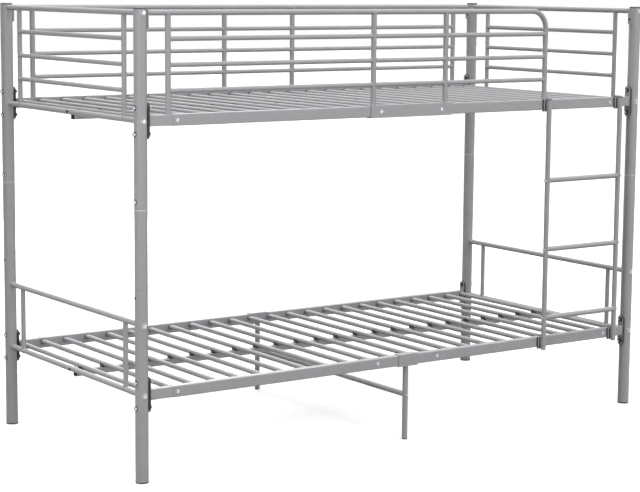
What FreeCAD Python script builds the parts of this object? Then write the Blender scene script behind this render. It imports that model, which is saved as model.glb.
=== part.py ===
import FreeCAD, Part
import os
import re

# Sizes of the bed in millimetres. Plain numbers are chosen, formulas follow from them.
# X runs along the bed, Y across it with the ladder on the -Y side, Z is up from the floor.
SIZES = {
    # Clearances
    "slip": 0.2,
    "rail_slip": 0.2,
    "weld_gap": 0.05,
    "thread_play": 0.1,
    "bolt_play": 0.3,
    "slat_play": 0.15,
    # Corner posts, each of three tubes on inner sleeves between a foot and a cap
    "post_span": 2040,
    "bed_width": 925,
    "post_diameter": 41,
    "post_wall": 1.2,
    "post_top": 1455,
    "post_seam": 1,
    "seam_low": 605,
    "seam_high": 850,
    "sleeve_length": 110,
    "sleeve_wall": 1.5,
    "joint_screw_offset": 25,
    "foot_thickness": 5,
    "foot_plug": 25,
    "foot_round": 1,
    "cap_thickness": 5,
    "cap_plug": 4,
    "cap_round": 3,
    "post_x": "=post_span / 2",
    "post_y": "=bed_width / 2",
    "post_radius": "=post_diameter / 2",
    "post_bore": "=post_diameter - 2 * post_wall",
    "sleeve_outside": "=post_bore - 2 * slip",
    # Fasteners
    "bolt_diameter": 7.8,
    "bolt_length": 56,
    "bolt_head": 13,
    "bolt_head_height": 5,
    "bolt_head_round": 2,
    "bolt_socket": 5,
    "nut_width": 13,
    "nut_height": 6.5,
    "pin_diameter": 5.8,
    "pin_length": 33,
    "pin_head": 10,
    "pin_head_height": 4,
    "pin_head_round": 1.6,
    "pin_socket": 4,
    "screw_diameter": 4,
    "screw_length": 14,
    "screw_head": 8,
    "screw_head_height": 2.4,
    "screw_head_round": 1.5,
    "screw_slot": 0.9,
    "bolt_hole": "=bolt_diameter + 2 * bolt_play",
    "bolt_thread": "=bolt_diameter + 2 * thread_play",
    "pin_hole": "=pin_diameter + 2 * bolt_play",
    "pin_thread": "=pin_diameter + 2 * thread_play",
    "screw_hole": "=screw_diameter + 2 * slip",
    # Heights of the two bunks, at the middle of their side rails
    "lower_bunk": 276,
    "upper_bunk": 1120,
    # Slats and their bushes
    "slat_setback": 117,
    "end_slat_setback": 37,
    "slat_diameter": 16,
    "slat_wall": 1,
    "slat_rise": 5,
    "slat_inset": 8,
    "bush_wall": 1.15,
    "bush_rim": 1,
    "bush_rim_height": 1,
    "bush_depth": 4.5,
    "slat_last": "=post_x - slat_setback",
    "end_slat": "=post_x - end_slat_setback",
    "slat_pitch": "=slat_last / 10.5",
    "bush_bore": "=slat_diameter + 2 * slat_play",
    "bush_outside": "=bush_bore + 2 * bush_wall",
    "bush_hole": "=bush_outside + 2 * slip",
    # Side rails of rectangular tube, two halves on an inner sleeve
    "rail_height": 36,
    "rail_width": 25,
    "rail_wall": 1,
    "rail_corner": 3,
    "rail_seam": 0.5,
    "rail_margin": 11,
    "rail_screw_inset": 16,
    "joint_margin": 36,
    "joint_screw_inset": 39,
    "rail_top": "=rail_height / 2",
    "rail_side": "=rail_width / 2",
    "rail_end": "=slat_last + rail_margin",
    "rail_screw": "=rail_end - rail_screw_inset",
    "joint_half": "=1.5 * slat_pitch + joint_margin",
    "joint_screw": "=joint_half - joint_screw_inset",
    "inner_height": "=rail_height - 2 * rail_wall - 2 * rail_slip",
    "inner_width": "=rail_width - 2 * rail_wall - 2 * rail_slip",
    "inner_top": "=inner_height / 2",
    "inner_side": "=inner_width / 2",
    "inner_corner": 2,
    "inner_bore_corner": 1,
    # Brackets that carry the rails on the posts
    "plate_height": 109,
    "plate_width": 28,
    "plate_thickness": 4,
    "plate_bolt_offset": 40,
    "spigot_length": 140.5,
    "plate_face": "=post_x - post_radius - weld_gap",
    "plate_inner": "=plate_face - plate_thickness",
    "spigot_end": "=plate_inner - spigot_length",
    # End frames of round tube
    "end_rail_diameter": 18,
    "end_upright_diameter": 16,
    "bar_diameter": 15,
    "tube_wall": 1.2,
    "top_rail_drop": 10,
    "bar_pitch": 79,
    "lower_end_top": 495,
    "end_upright_inset": 100.5,
    "insert_length": 25,
    "top_rail": "=post_top - top_rail_drop",
    "end_upright_y": "=post_y - end_upright_inset",
    "end_bore": "=end_rail_diameter - 2 * tube_wall",
    # Guard rails of the upper bunk
    "guard_diameter": 18,
    "guard_bend": 60,
    "guard_end_offset": 9,
    "guard_stand_gap": 10,
    "guard_middle_inset": 15,
    "channel_overlap": 3,
    "channel_wall": 2.5,
    "stub_diameter": 14.5,
    "stub_height": 25,
    "tab_thickness": 4,
    "tab_width": 20,
    "tab_rise": 7,
    "tab_drop": 47,
    "tab_screw_drop": 30,
    "guard_bore": "=guard_diameter - 2 * tube_wall",
    "guard_end": "=7 * slat_pitch - guard_end_offset",
    "guard_stand": "=rail_end + guard_stand_gap",
    "guard_middle": "=joint_half - guard_middle_inset",
    "channel_half": "=joint_half + channel_overlap",
    "channel_inner": "=rail_top + slip",
    "channel_outer": "=rail_top + slip + channel_wall",
    "tab_face": "=plate_face - tab_thickness",
    "tab_screw": "=top_rail - tab_screw_drop",
    # Centre supports under the slats
    "support_size": 20,
    "support_wall": 1.5,
    "support_corner": 2,
    "support_drop": 5,
    "ear_thickness": 3,
    "ear_width": 16,
    "ear_rise": 9,
    "ear_foot": 15,
    "plug_flange": 2,
    "plug_depth": 12,
    "clip_length": 22,
    "clip_width": 20,
    "clip_rise": 1,
    "peg_diameter": 8,
    "peg_length": 6,
    "support_half": "=support_size / 2",
    "support_bottom": "=support_drop + support_size",
    "support_bore": "=support_size - 2 * support_wall - 2 * slip",
    "ear_face": "=post_x - end_rail_diameter / 2 - weld_gap",
    "support_end": "=ear_face - plug_flange",
    "peg_hole": "=peg_diameter + 2 * slip",
    # Middle legs under the joints of the lower rails
    "leg_diameter": 19,
    "leg_foot": 3,
    "leg_plug": 15,
    "saddle_half": 40,
    "saddle_wall": 2.5,
    "saddle_screw": 25,
    "crossbar_diameter": 18,
    "crossbar_height": 155,
    "leg_bore": "=leg_diameter - 2 * tube_wall",
    "crossbar_bore": "=crossbar_diameter - 2 * tube_wall",
    "lower_rail_bottom": "=lower_bunk - rail_top",
    "saddle_inner": "=rail_top + slip",
    "saddle_outer": "=rail_top + slip + saddle_wall",
    "saddle_bottom": "=lower_bunk - saddle_outer",
    # Ladder that hooks over the front rails
    "stile_diameter": 18,
    "stile_bottom": 250,
    "stile_top": 1139,
    "stile_setback": 20.5,
    "rung_top": 855,
    "rung_pitch": 244.75,
    "hook_plate": 38,
    "hook_width": 12,
    "hook_thickness": 3,
    "hook_play": 1.3,
    "hook_drop": 5,
    "hook_gap": 1,
    "pad_play": 0.3,
    "stile_radius": "=stile_diameter / 2",
    "stile_bore": "=stile_diameter - 2 * tube_wall",
    "ladder_left": "=guard_end + guard_diameter / 2 + hook_gap + hook_width - hook_plate / 2",
    "ladder_right": "=rail_end + stile_setback",
    "hook_side": "=rail_side + hook_play",
    "hook_top": "=rail_top + hook_play",
    "hook_low": "=rail_top + hook_drop",
    "stile_y": "=post_y + hook_side + hook_thickness + stile_radius + weld_gap",
}
SLATS_EACH_HALF = 11
GUARD_BARS = 3
RUNGS = 3

doc = FreeCAD.newDocument("bunk_bed")
sheet = doc.addObject("Spreadsheet::Sheet", "Sizes")
for row, (size_name, size) in enumerate(SIZES.items(), start=1):
    sheet.set("A%d" % row, size_name)
    sheet.set("B%d" % row, str(size))
    sheet.setAlias("B%d" % row, size_name)
doc.recompute()

X_AXIS = FreeCAD.Vector(1, 0, 0)
Y_AXIS = FreeCAD.Vector(0, 1, 0)
Z_AXIS = FreeCAD.Vector(0, 0, 1)
STRAIGHT = FreeCAD.Rotation()
HALF_TURN = FreeCAD.Rotation(Z_AXIS, 180)
UPSIDE_DOWN = FreeCAD.Rotation(X_AXIS, 180)
X_TO_Y = FreeCAD.Rotation(Z_AXIS, 90)
X_TO_MINUS_Y = FreeCAD.Rotation(Z_AXIS, -90)
X_TO_Z = FreeCAD.Rotation(Y_AXIS, -90)
Z_TO_X = FreeCAD.Rotation(Y_AXIS, 90)
Z_TO_Y = FreeCAD.Rotation(X_AXIS, -90)
Y_TO_Z = FreeCAD.Rotation(X_AXIS, 90)
nodes = []


def sized(formula):
    """Point every size name in a formula at its cell in the sheet."""
    return re.sub(r"[a-z][a-z_]+", lambda word: "Sizes." + word.group(), str(formula))


def add(kind, name, **formulas):
    """Add a document object with some properties bound to sizes."""
    piece = doc.addObject(kind, name)
    for prop, formula in formulas.items():
        piece.setExpression(prop, sized(formula))
    return piece


def put(piece, x, y, z, turn=STRAIGHT):
    """Turn a piece and bind its position to sizes."""
    piece.Placement = FreeCAD.Placement(FreeCAD.Vector(), turn)
    for axis, formula in (("x", x), ("y", y), ("z", z)):
        piece.setExpression("Placement.Base." + axis, sized(formula))
    return piece


def rod(name, diameter, x, y, z):
    """A round bar along the one direction that is given as (start, end)."""
    start = [x, y, z]
    axis = [isinstance(value, tuple) for value in start].index(True)
    low, high = start[axis]
    start[axis] = low
    height = "(%s) - (%s)" % (high, low)
    piece = add("Part::Cylinder", name, Radius="(%s) / 2" % diameter, Height=height)
    return put(piece, *start, turn=(Z_TO_X, Z_TO_Y, STRAIGHT)[axis])


def block(name, x, y, z):
    """A box between the (start, end) of each direction."""
    length, width, height = ["(%s) - (%s)" % (high, low) for low, high in (x, y, z)]
    piece = add("Part::Box", name, Length=length, Width=width, Height=height)
    return put(piece, x[0], y[0], z[0])


def hexagon(name, across, depth, x):
    """A six-sided bar along +X from x."""
    piece = add("Part::Prism", name, Circumradius="(%s) / 1.7321" % across, Height=depth)
    piece.Polygon = 6
    return put(piece, x, 0, 0, turn=Z_TO_X)


def cut(name, piece, *tools):
    """Take each tool out of a piece in turn."""
    for tool in tools:
        rest = add("Part::Cut", name)
        rest.Base = piece
        rest.Tool = tool
        piece = rest
    return piece


def join(name, *pieces):
    """Make one solid of pieces that overlap or touch."""
    whole = add("Part::MultiFuse", name)
    whole.Shapes = list(pieces)
    whole.Refine = True
    return whole


def group(name, pieces):
    """Keep several solids side by side in one object."""
    whole = add("Part::Compound", name)
    whole.Links = list(pieces)
    return whole


def copy(name, piece, x=0, y=0, z=0, turn=STRAIGHT):
    """A placed copy of a piece."""
    link = add("App::Link", name)
    link.LinkedObject = piece
    link.LinkTransform = True
    return put(link, x, y, z, turn)


def mirror(name, piece):
    """The same piece for the other end of the bed."""
    twin = add("Part::Mirroring", name)
    twin.Source = piece
    twin.Normal = X_AXIS
    return twin


def soften(name, piece, radius, picked):
    """Round the edges that are picked, by a size from the sheet."""
    doc.recompute()
    size = float(sheet.get(radius))
    rounded = add("Part::Fillet", name)
    rounded.Base = piece
    edges = enumerate(piece.Shape.Edges, start=1)
    rounded.Edges = [(number, size, size) for number, edge in edges if picked(edge)]
    return rounded


def tube(name, diameter, wall, x, y, z, *tools):
    """A round tube, less the tools that shape its ends or drill it."""
    bore = rod(name + "_bore", "(%s) - 2 * (%s)" % (diameter, wall), x, y, z)
    return cut(name, rod(name + "_outside", diameter, x, y, z), bore, *tools)


def insert(name, diameter, thread, x, y, z):
    """A threaded plug pressed into the end of a tube."""
    outside = rod(name + "_outside", "(%s) - 2 * weld_gap" % diameter, x, y, z)
    return cut(name, outside, rod(name + "_thread", thread, x, y, z))


def box_tube(name, x, height, width, wall, corner, bore_corner, middle=0):
    """A rectangular tube along X with rounded corners."""
    def solid(part, shrink, radius):
        half_y = "(%s) / 2 - %s" % (width, shrink)
        half_z = "(%s) / 2 - %s" % (height, shrink)
        sides = ("-(%s)" % half_y, half_y)
        levels = ("%s - (%s)" % (middle, half_z), "%s + (%s)" % (middle, half_z))
        plain = block(part, x, sides, levels)
        return soften(part + "_round", plain, radius, lambda edge: edge.BoundBox.XLength > 1)
    return cut(name, solid(name + "_outside", 0, corner), solid(name + "_bore", wall, bore_corner))


def plug(name, diameter, flange, bore, depth):
    """A round cap for a tube that ends at z = 0 and runs upwards."""
    disc = rod(name + "_disc", diameter, 0, 0, ("-(%s)" % flange, 0))
    return disc, rod(name + "_plug", "(%s) - 2 * slip" % bore, 0, 0, ("-(%s) / 2" % flange, depth))


def rim_at(axis, level):
    """Pick the round edges that lie at one level of an axis."""
    def picked(edge):
        low = getattr(edge.BoundBox, axis + "Min")
        high = getattr(edge.BoundBox, axis + "Max")
        return abs(low - level) < 0.01 and abs(high - level) < 0.01
    return picked


def value(name):
    """The number behind a size."""
    return float(sheet.get(name))


def node(label, piece):
    """Hand a finished piece in under its own name."""
    piece.Label = label
    nodes.append(piece)


# Fasteners: each is drawn once along +X with the underside of its head at x = 0
def headed(name, head, head_height, head_round, shank, length, recess):
    knob = rod(name + "_knob", head, ("-%s" % head_height, 0), 0, 0)
    rim = rim_at("X", -value(head_height))
    domed = soften(name + "_dome", knob, head_round, rim)
    shaft = rod(name + "_shaft", shank, ("-%s / 4" % head_height, length), 0, 0)
    return cut(name, join(name + "_blank", domed, shaft), *recess)


bolt_recess = hexagon("bolt_key", "bolt_socket", "bolt_head_height", "-1.7 * bolt_head_height")
bolt = headed("bolt", "bolt_head", "bolt_head_height", "bolt_head_round",
              "bolt_diameter", "bolt_length", [bolt_recess])
pin_recess = hexagon("pin_key", "pin_socket", "pin_head_height", "-1.7 * pin_head_height")
pin = headed("pin", "pin_head", "pin_head_height", "pin_head_round",
             "pin_diameter", "pin_length", [pin_recess])
slot_depth = ("-2 * screw_head_height", "-screw_head_height / 2")
slot_wide = ("-screw_slot / 2", "screw_slot / 2")
slot_long = ("-screw_head / 3.5", "screw_head / 3.5")
screw_recess = [block("slot", slot_depth, slot_wide, slot_long),
                block("cross_slot", slot_depth, slot_long, slot_wide)]
screw = headed("screw", "screw_head", "screw_head_height", "screw_head_round",
               "screw_diameter", "screw_length", screw_recess)
nut = cut("nut", hexagon("nut_blank", "nut_width", "nut_height", 0),
          rod("nut_thread", "bolt_thread", ("-nut_height", "2 * nut_height"), 0, 0))

# Corner posts: the left ones are drawn on the Z axis, the right ones are the same, turned round
through_post = ("-post_diameter", "post_diameter")


def post(name, low, high, x_bolts, y_bolts, outer_screws, inner_screws):
    drills = [rod(name + "_x_hole", "bolt_hole", through_post, 0, z) for z in x_bolts]
    drills += [rod(name + "_y_hole", "bolt_hole", 0, through_post, z) for z in y_bolts]
    drills += [rod(name + "_screw", "screw_hole", ("-post_diameter", 0), 0, z) for z in outer_screws]
    drills += [rod(name + "_screw", "screw_hole", (0, "post_diameter"), 0, z) for z in inner_screws]
    return tube(name, "post_diameter", "post_wall", 0, 0, (low, high), *drills)


lower_screw_z = "seam_low - joint_screw_offset"
upper_screw_z = "seam_high + joint_screw_offset"


def plate_bolts(bunk):
    return [bunk + " - plate_bolt_offset", bunk + " + plate_bolt_offset"]


post_lengths = {
    "lower": post("post_low", "foot_thickness", "seam_low - post_seam / 2",
                  plate_bolts("lower_bunk"), ["lower_bunk", "lower_end_top"], [lower_screw_z], []),
    "middle": post("post_mid", "seam_low + post_seam / 2", "seam_high - post_seam / 2",
                   [], [], [], []),
    "upper": post("post_up", "seam_high + post_seam / 2", "post_top",
                  plate_bolts("upper_bunk"), ["upper_bunk", "top_rail"],
                  [upper_screw_z], ["tab_screw"]),
}
corners = {
    "front_left": ("-post_x", "-post_y", STRAIGHT),
    "front_right": ("post_x", "-post_y", HALF_TURN),
    "rear_left": ("-post_x", "post_y", STRAIGHT),
    "rear_right": ("post_x", "post_y", HALF_TURN),
}
for length_name, length_tube in post_lengths.items():
    for corner, (x, y, turn) in corners.items():
        label = "post_%s_%s" % (length_name, corner)
        node(label, copy(label, length_tube, x, y, 0, turn))

# Inner sleeves of the post joints, each held by one screw in the outer side of the post
sleeve = tube("sleeve", "sleeve_outside", "sleeve_wall", 0, 0,
              ("-sleeve_length / 2", "sleeve_length / 2"),
              rod("sleeve_hole", "screw_hole", ("-post_diameter", 0), 0, "joint_screw_offset"))
sleeves = []
post_screws = []
for x, y, turn in corners.values():
    outer_x = "%s %s post_radius" % (x, "-" if turn is STRAIGHT else "+")
    inner_x = "tab_face" if turn is HALF_TURN else "-tab_face"
    sleeves.append(copy("sleeve_high", sleeve, x, y, "seam_high", turn))
    sleeves.append(copy("sleeve_low", sleeve, x, y, "seam_low", turn * UPSIDE_DOWN))
    post_screws.append(copy("screw_high", screw, outer_x, y, upper_screw_z, turn))
    post_screws.append(copy("screw_low", screw, outer_x, y, lower_screw_z, turn))
    post_screws.append(copy("screw_tab", screw, inner_x, y, "tab_screw", turn * HALF_TURN))
node("post_joint_sleeves", group("sleeves", sleeves))
node("post_screws", group("post_screws", post_screws))

# Plastic feet and caps of the posts
foot_disc, foot_core = plug("foot", "post_diameter", "foot_thickness", "post_bore", "foot_plug")
foot_rim = soften("foot_rim", foot_disc, "foot_round", rim_at("Z", -value("foot_thickness")))
foot = join("foot", foot_rim, foot_core)
cap_disc, cap_core = plug("cap", "post_diameter", "cap_thickness", "post_bore", "cap_plug")
cap_rim = soften("cap_rim", cap_disc, "cap_round", rim_at("Z", -value("cap_thickness")))
cap = join("cap", cap_rim, cap_core)
feet = [copy("foot_at", foot, x, y, "foot_thickness") for x, y, turn in corners.values()]
caps = [copy("cap_at", cap, x, y, "post_top", UPSIDE_DOWN) for x, y, turn in corners.values()]
node("post_foot_caps", group("feet", feet))
node("post_top_caps", group("caps", caps))

# End frames: drawn in the plane x = 0 between the two posts of one end
between_posts = ("-post_y", "post_y")
between_uprights = ("-end_upright_y", "end_upright_y")
post_cope = "post_diameter + 2 * weld_gap"
post_copes = [rod("post_cope", post_cope, 0, y, (0, "post_top")) for y in between_posts]
insert_front = ("-(post_y - post_radius - weld_gap)",
                "-(post_y - post_radius - weld_gap) + insert_length")
insert_rear = ("post_y - post_radius - weld_gap - insert_length", "post_y - post_radius - weld_gap")


def end_frame(name, top, bottom, bars):
    support_hole = rod(name + "_hole", "pin_hole", through_post, 0, bottom)
    solids = [
        tube(name + "_top", "end_rail_diameter", "tube_wall", 0, between_posts, top, *post_copes),
        tube(name + "_bottom", "end_rail_diameter", "tube_wall", 0, between_posts, bottom,
             *post_copes, support_hole),
    ]
    for z in (top, bottom):
        for y in (insert_front, insert_rear):
            solids.append(insert(name + "_insert", "end_bore", "bolt_thread", 0, y, z))
    rail_cope = "end_rail_diameter + 2 * weld_gap"
    rail_copes = [rod(name + "_rail_cope", rail_cope, 0, between_posts, z) for z in (top, bottom)]
    upright_cope = "end_upright_diameter + 2 * weld_gap"
    upright_copes = []
    for y in between_uprights:
        solids.append(tube(name + "_upright", "end_upright_diameter", "tube_wall",
                           0, y, (bottom, top), *rail_copes))
        upright_copes.append(rod(name + "_upright_cope", upright_cope, 0, y, (bottom, top)))
    for step in range(1, bars + 1):
        solids.append(tube(name + "_bar", "bar_diameter", "tube_wall", 0, between_uprights,
                           "%s - %d * bar_pitch" % (top, step), *upright_copes))
    return group(name, solids)


end_frames = {
    "upper": end_frame("end_up", "top_rail", "upper_bunk", GUARD_BARS),
    "lower": end_frame("end_low", "lower_end_top", "lower_bunk", 0),
}
for bunk, frame in end_frames.items():
    for side, x, turn in (("left", "-post_x", STRAIGHT), ("right", "post_x", HALF_TURN)):
        label = "%s_end_frame_%s" % (bunk, side)
        node(label, copy(label, frame, x, turn=turn))

# Rail brackets: drawn for the front left corner in the middle plane of the rail, at z = 0
plate_round = "plate_height / 2 - plate_width / 2"
plate_x = ("-plate_face", "-plate_inner")
plate_solid = join(
    "plate_solid",
    block("plate_middle", plate_x, ("-plate_width / 2", "plate_width / 2"),
          ("-(%s)" % plate_round, plate_round)),
    rod("plate_high", "plate_width", plate_x, 0, plate_round),
    rod("plate_low", "plate_width", plate_x, 0, "-(%s)" % plate_round))
plate_drills = [rod("plate_hole", "bolt_hole", ("-post_x", "-spigot_end"), 0, z)
                for z in ("-plate_bolt_offset", "plate_bolt_offset")]
plate = cut("plate", plate_solid, *plate_drills)
spigot = cut(
    "spigot",
    box_tube("spigot_tube", ("-plate_inner", "-spigot_end"), "inner_height", "inner_width",
             "rail_wall", "inner_corner", "inner_bore_corner"),
    *[rod("spigot_slat_hole", "bush_hole", x, (0, "rail_width"), "slat_rise")
      for x in ("-slat_last", "-end_slat")],
    rod("spigot_screw_hole", "screw_hole", "-rail_screw", ("-rail_width", 0), 0))
bracket = group("bracket", [plate, spigot])
bracket_twin = mirror("bracket_twin", bracket)
stub = rod("stub", "stub_diameter", 0, 0, (0, "stub_height"))
stub_z = "upper_bunk + inner_top"
rail_places = {
    "front_left": ("-post_y", STRAIGHT, False),
    "front_right": ("-post_y", STRAIGHT, True),
    "rear_left": ("post_y", HALF_TURN, True),
    "rear_right": ("post_y", HALF_TURN, False),
}
for bunk in ("upper", "lower"):
    solids = [copy("bracket_at", bracket_twin if twin else bracket, 0, y, bunk + "_bunk", turn)
              for y, turn, twin in rail_places.values()]
    if bunk == "upper":
        solids.append(copy("stub_at", stub, "-guard_stand", "-post_y", stub_z))
        solids.append(copy("stub_at", stub, "-guard_stand", "post_y", stub_z))
        solids.append(copy("stub_at", stub, "guard_stand", "post_y", stub_z))
    label = "%s_rail_brackets" % bunk
    node(label, group(label, solids))

# Side rail halves: drawn for the front left in the middle plane of the rail, at z = 0
slat_steps = [step + 0.5 for step in range(SLATS_EACH_HALF)]
rail_slats = ["%s * slat_pitch" % step for step in [-step for step in slat_steps] + slat_steps]
end_slats = ["-end_slat", "end_slat"]


def slat_holes(name, places):
    hole = rod(name + "_drill", "bush_hole", 0, (0, "rail_width"), "slat_rise")
    return group(name, [copy(name + "_at", hole, x) for x in places])


rail_drills = [rod("rail_screw_hole", "screw_hole", x, ("-rail_width", 0), 0)
               for x in ("-rail_screw", "-joint_screw")]
rail = cut(
    "rail",
    box_tube("rail_tube", ("-rail_end", "-rail_seam / 2"), "rail_height", "rail_width",
             "rail_wall", "rail_corner", "inner_corner"),
    slat_holes("rail_slat_holes", ["-%s * slat_pitch" % step for step in slat_steps]),
    *rail_drills)
saddle_drill = ("-rail_height", 0)
lower_rail = cut("lower_rail", rail,
                 rod("rail_saddle_hole", "screw_hole", "-saddle_screw", 0, saddle_drill))
rail_halves = {
    "upper": (rail, mirror("rail_twin", rail)),
    "lower": (lower_rail, mirror("lower_rail_twin", lower_rail)),
}
guard_drill = rod("guard_drill", "bolt_hole", "guard_end", 0, ("-rail_height", "rail_height"))
for bunk, (half, twin_half) in rail_halves.items():
    for corner, (y, turn, twin) in rail_places.items():
        label = "%s_rail_%s" % (bunk, corner)
        piece = twin_half if twin else half
        if label == "upper_rail_front_right":
            piece = cut("guard_rail_half", piece, guard_drill)
        node(label, copy(label, piece, 0, y, bunk + "_bunk", turn))

# Inner sleeves that join the rail halves
joint_drills = [rod("joint_screw_hole", "screw_hole", x, ("-rail_width", 0), 0)
                for x in ("-joint_screw", "joint_screw")]
rail_joint = cut(
    "rail_joint",
    box_tube("joint_tube", ("-joint_half", "joint_half"), "inner_height", "inner_width",
             "rail_wall", "inner_corner", "inner_bore_corner"),
    slat_holes("joint_slat_holes", ["%s * slat_pitch" % step for step in (-1.5, -0.5, 0.5, 1.5)]),
    *joint_drills)
lower_joint = cut("lower_joint", rail_joint,
                  *[rod("joint_saddle_hole", "screw_hole", x, 0, saddle_drill)
                    for x in ("-saddle_screw", "saddle_screw")])
rail_joints = []
for joint, bunk in ((rail_joint, "upper_bunk"), (lower_joint, "lower_bunk")):
    rail_joints.append(copy("joint_front", joint, 0, "-post_y", bunk))
    rail_joints.append(copy("joint_rear", joint, 0, "post_y", bunk, HALF_TURN))
node("rail_joint_sleeves", group("rail_joints", rail_joints))

# Guard rails: drawn in the plane y = 0 with the bed on the +Y side
channel_side = "rail_side + slip"
channel_web = ("-(%s) - channel_wall" % channel_side, "rail_side")
channel = cut(
    "channel",
    block("channel_block", ("-channel_half", "channel_half"), channel_web,
          ("upper_bunk - channel_outer", "upper_bunk + channel_outer")),
    block("channel_inside", ("-post_x", "post_x"), ("-(%s)" % channel_side, "rail_width"),
          ("upper_bunk - channel_inner", "upper_bunk + channel_inner")),
    *[rod("channel_hole", "screw_hole", x, ("-2 * rail_width", 0), "upper_bunk")
      for x in ("-joint_screw", "joint_screw")])
guard_cope = "guard_diameter + 2 * weld_gap"
on_spigot = "upper_bunk + inner_top"
on_channel = "upper_bunk + channel_outer"
on_rail = "upper_bunk + rail_top"


def guard(name, top_end, stands, last_stand):
    """A guard with its bars between stands given as (x, height of the foot)."""
    top_tube = ("-tab_face", top_end)
    top_cope = rod(name + "_top_cope", guard_cope, top_tube, 0, "top_rail")
    solids = [channel, tube(name + "_top", "guard_diameter", "tube_wall", top_tube, 0, "top_rail")]
    for x, low in stands:
        solids.append(tube(name + "_stand", "guard_diameter", "tube_wall",
                           x, 0, (low, "top_rail"), top_cope))
    edges = [x for x, low in stands] + last_stand
    copes = [rod(name + "_cope", guard_cope, x, 0, ("upper_bunk", "top_rail")) for x in edges]
    for step in range(1, GUARD_BARS + 1):
        z = "top_rail - %d * bar_pitch" % step
        for left in range(len(edges) - 1):
            solids.append(tube(name + "_bar", "bar_diameter", "tube_wall",
                               (edges[left], edges[left + 1]), 0, z, *copes[left:left + 2]))
    return solids


bend_start = "guard_end - guard_bend"
bend_low = "top_rail - guard_bend"


def bend(name, radius):
    ring = add("Part::Torus", name, Radius1="guard_bend", Radius2=radius)
    ring.Angle3 = 90
    return put(ring, bend_start, 0, bend_low, Y_TO_Z)


guard_elbow = cut("guard_elbow", bend("bend_outside", "guard_diameter / 2"),
                  bend("bend_bore", "guard_bore / 2"))
guard_drop = tube("guard_drop", "guard_diameter", "tube_wall", "guard_end", 0, (on_rail, bend_low))
guard_insert = insert("guard_insert", "guard_bore", "bolt_thread",
                      "guard_end", 0, (on_rail, on_rail + " + insert_length"))
inner_stands = [("-guard_middle", on_channel), ("guard_middle", on_channel)]
left_stand = [("-guard_stand", on_spigot)]
right_stand = [("guard_stand", on_spigot)]
front_guard = group("front_guard",
                    guard("front", bend_start, left_stand + inner_stands, ["guard_end"])
                    + [guard_elbow, guard_drop, guard_insert])
rear_guard = group("rear_guard",
                   guard("rear", "tab_face", left_stand + inner_stands + right_stand, []))
node("front_guard_rail", copy("front_guard_rail", front_guard, 0, "-post_y"))
node("rear_guard_rail", copy("rear_guard_rail", rear_guard, 0, "post_y", turn=HALF_TURN))

# Tabs on the posts for the ends of the guards; the one beside the ladder is not used
tab = cut("tab",
          block("tab_plate", ("-plate_face", "-tab_face"), ("-tab_width / 2", "tab_width / 2"),
                ("top_rail - tab_drop", "top_rail + tab_rise")),
          rod("tab_hole", "screw_hole", ("-post_x", "-spigot_end"), 0, "tab_screw"))
tabs = [copy("tab_at", tab, 0, y, 0, turn) for x, y, turn in corners.values()]
node("guard_end_tabs", group("tabs", tabs))

# Slats with a bush at each end; the outermost ones lie in the brackets, beside the end frames
slat_y = "(post_y - rail_side + slat_inset)"
slat = tube("slat", "slat_diameter", "slat_wall", 0, ("-" + slat_y, slat_y), 0)
bush = cut("bush",
           join("bush_blank",
                rod("bush_flange", "bush_outside + 2 * bush_rim", 0, (0, "bush_rim_height"), 0),
                rod("bush_body", "bush_outside", 0, ("-bush_depth", "bush_rim_height / 2"), 0)),
           rod("bush_hollow", "bush_bore", 0, ("-2 * bush_depth", "bush_depth"), 0))
bush_faces = [(x, "post_y - rail_side") for x in rail_slats]
bush_faces += [(x, "post_y - inner_side") for x in end_slats]
for bunk in ("upper", "lower"):
    slat_z = bunk + "_bunk + slat_rise"
    slats = [copy("slat_at", slat, x, 0, slat_z) for x in rail_slats + end_slats]
    bushes = [copy("bush_front", bush, x, "-(%s)" % y, slat_z) for x, y in bush_faces]
    bushes += [copy("bush_rear", bush, x, y, slat_z, HALF_TURN) for x, y in bush_faces]
    node(bunk + "_slats", group(bunk + "_slats", slats))
    node(bunk + "_slat_bushes", group(bunk + "_slat_bushes", bushes))

# Centre supports: drawn at z = 0 for the middle of the rails
peg_drill = rod("peg_drill", "peg_hole", 0, 0, ("-support_drop - 2 * support_wall", 0))
peg_holes = group("peg_holes", [copy("peg_at", peg_drill, x) for x in rail_slats + end_slats])
support_tube = cut(
    "support_tube",
    box_tube("support_box", ("-support_end", "support_end"), "support_size", "support_size",
             "support_wall", "support_corner", "weld_gap", "-(support_drop + support_half)"),
    peg_holes)
ear_side = ("-ear_width / 2", "ear_width / 2")
ear = cut("ear",
          join("ear_blank",
               block("ear_upright", ("-ear_face", "-ear_face + ear_thickness"), ear_side,
                     ("-support_drop", "ear_rise")),
               block("ear_base", ("-ear_face", "-ear_face + ear_foot"), ear_side,
                     ("-support_drop", "-support_drop + ear_thickness"))),
          rod("ear_thread", "pin_thread", ("-post_x", "-spigot_end"), 0, 0))
support = group("support", [support_tube, ear, copy("ear_twin", ear, turn=HALF_TURN)])
support_plug_half = "support_bore / 2"
support_plug_middle = "-(support_drop + support_half)"
support_plug = join(
    "support_plug",
    block("support_flange", ("-ear_face", "-support_end"), ("-support_half", "support_half"),
          ("-support_bottom", "-support_drop")),
    block("support_core", ("-support_end", "-support_end + plug_depth"),
          ("-" + support_plug_half, support_plug_half),
          ("%s - %s" % (support_plug_middle, support_plug_half),
           "%s + %s" % (support_plug_middle, support_plug_half))))
clip_base = "-(slat_rise + support_drop)"
clip = cut("clip",
           join("clip_blank",
                block("clip_block", ("-clip_length / 2", "clip_length / 2"),
                      ("-clip_width / 2", "clip_width / 2"), (clip_base, "clip_rise")),
                rod("clip_peg", "peg_diameter", 0, 0, (clip_base + " - peg_length", clip_base))),
           rod("clip_groove", "bush_bore", 0, ("-clip_width", "clip_width"), 0))
support_plugs = []
support_screws = []
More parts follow.
